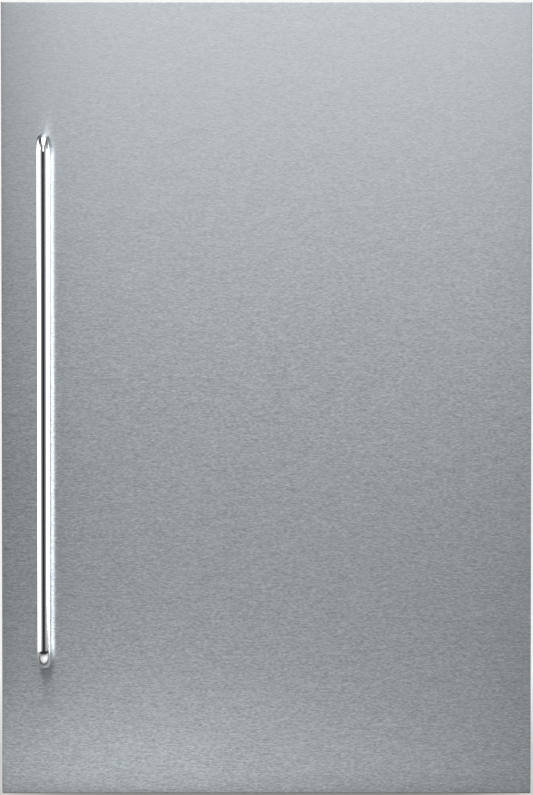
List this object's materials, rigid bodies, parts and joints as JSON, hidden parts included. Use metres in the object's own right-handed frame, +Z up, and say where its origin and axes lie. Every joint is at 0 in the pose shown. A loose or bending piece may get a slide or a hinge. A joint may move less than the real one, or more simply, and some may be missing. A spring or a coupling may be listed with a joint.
{
  "type": "undercounter refrigerator",
  "caption": "Undercounter refrigerator with one plain brushed-steel door hinged on the right, a tall round bar handle, glass shelves, door bins, a crisper drawer and a rear cooling unit.",
  "frame": {"origin": "on the floor under the middle of the overall box, handle and condenser included", "axes": "+Z up, the door and its handle face -Y, +X towards the hinged side, which is on the right as one stands in front of the door"},
  "size_m": [0.572, 0.657, 0.864],
  "materials": {
    "stainless": "stainless steel, fine horizontal brushing",
    "polished": "polished stainless steel",
    "painted": "fine-textured grey paint",
    "galvanised": "zinc-plated steel, dull",
    "white": "satin white food-safe plastic",
    "grey": "matte",
    "black": "black enamel, half gloss",
    "black_plastic": "matte",
    "clear": "clear moulded plastic",
    "glass": "toughened glass, polished edges",
    "seal": "soft extruded seal",
    "foam": null,
    "copper": "drawn copper, slightly dulled",
    "aluminium": "satin",
    "board": "raw wood-fibre board",
    "lamp": "frosted diffuser"
  },
  "bodies": {
    "cabinet": {"back_panel": "galvanised", "base_pan": "galvanised", "capillary_tube": "copper", "compressor_motor": "galvanised", "compressor_plate": "galvanised", "compressor_shell": "black", "condenser_tube": "black", "condenser_wires": "black", "control_housing": "white", "crisper_lid": "glass", "drain_hose": "grey", "duct_cover": "white", "evaporation_tray": "black_plastic", "evaporator_fins": "aluminium", "evaporator_tube": "copper", "fan_shroud": "black_plastic", "filter_drier": "copper", "front_collar": "painted", "hinge_bracket_bottom": "galvanised", "hinge_bracket_top": "galvanised", "hinge_cap": "grey", "inner_cable": "black_plastic", "inner_liner": "white", "insulation_foam": "foam", "lamp_lens": "lamp", "light_switch_body": "white", "mains_inlet": "black_plastic", "relay_box": "black_plastic", "shelf_glass_1": "glass", "shelf_glass_2": "glass", "shelf_trim_1": "aluminium", "shelf_trim_2": "aluminium", "side_panel_left": "painted", "side_panel_right": "painted", "suction_line": "copper", "top_panel": "painted"},
    "door": {"front_panel": "stainless", "panel_core": "board", "handle_bar": "polished", "handle_screw_top": "galvanised", "handle_screw_bottom": "galvanised", "panel_bracket_top": "galvanised", "panel_bracket_bottom": "galvanised", "door_shell": "painted", "door_foam": "foam", "door_liner": "white", "door_gasket": "seal", "door_bin_1": "clear", "door_bin_2": "clear", "door_bin_3": "clear", "hinge_bush_top": "grey", "hinge_bush_bottom": "grey"},
    "drawer": {"crisper_drawer": "clear"},
    "switch_plunger": {"light_switch_plunger": "white"},
    "knob": {"temperature_knob": "grey"},
    "rotor": {"fan_rotor": "black_plastic"},
    "foot_fl": {"foot_front_left": "black_plastic"},
    "foot_fr": {"foot_front_right": "black_plastic"},
    "foot_rl": {"foot_rear_left": "black_plastic"},
    "foot_rr": {"foot_rear_right": "black_plastic"}
  },
  "joints": [
    {"name": "door_hinge", "type": "hinge", "parent": "cabinet", "child": "door", "pos_m": [0.268, -0.2435, 0.036], "axis": [0, 0, 1], "range_deg": [0, 110]},
    {"name": "crisper_slide", "type": "slide", "parent": "cabinet", "child": "drawer", "axis": [0, -1, 0], "range_m": [0, 0.15]},
    {"name": "switch_slide", "type": "slide", "parent": "cabinet", "child": "switch_plunger", "axis": [0, -1, 0], "range_m": [0, 0.006]},
    {"name": "knob_turn", "type": "hinge", "parent": "cabinet", "child": "knob", "pos_m": [0.08, -0.1123, 0.8015], "axis": [0, -1, 0], "range_deg": [0, 270]},
    {"name": "fan_spin", "type": "hinge", "parent": "cabinet", "child": "rotor", "pos_m": [0, 0.2238, 0.69], "axis": [0, -1, 0], "continuous": true},
    {"name": "foot_fl_screw", "type": "slide", "parent": "cabinet", "child": "foot_fl", "axis": [0, 0, -1], "range_m": [0, 0.015]},
    {"name": "foot_fr_screw", "type": "slide", "parent": "cabinet", "child": "foot_fr", "axis": [0, 0, -1], "range_m": [0, 0.015]},
    {"name": "foot_rl_screw", "type": "slide", "parent": "cabinet", "child": "foot_rl", "axis": [0, 0, -1], "range_m": [0, 0.015]},
    {"name": "foot_rr_screw", "type": "slide", "parent": "cabinet", "child": "foot_rr", "axis": [0, 0, -1], "range_m": [0, 0.015]}
  ],
  "couplings": [
    {"joint": "crisper_slide", "follows": "door_hinge", "m_per_rad": 0.078},
    {"joint": "switch_slide", "follows": "door_hinge", "m_per_rad": 0.0031}
  ]
}
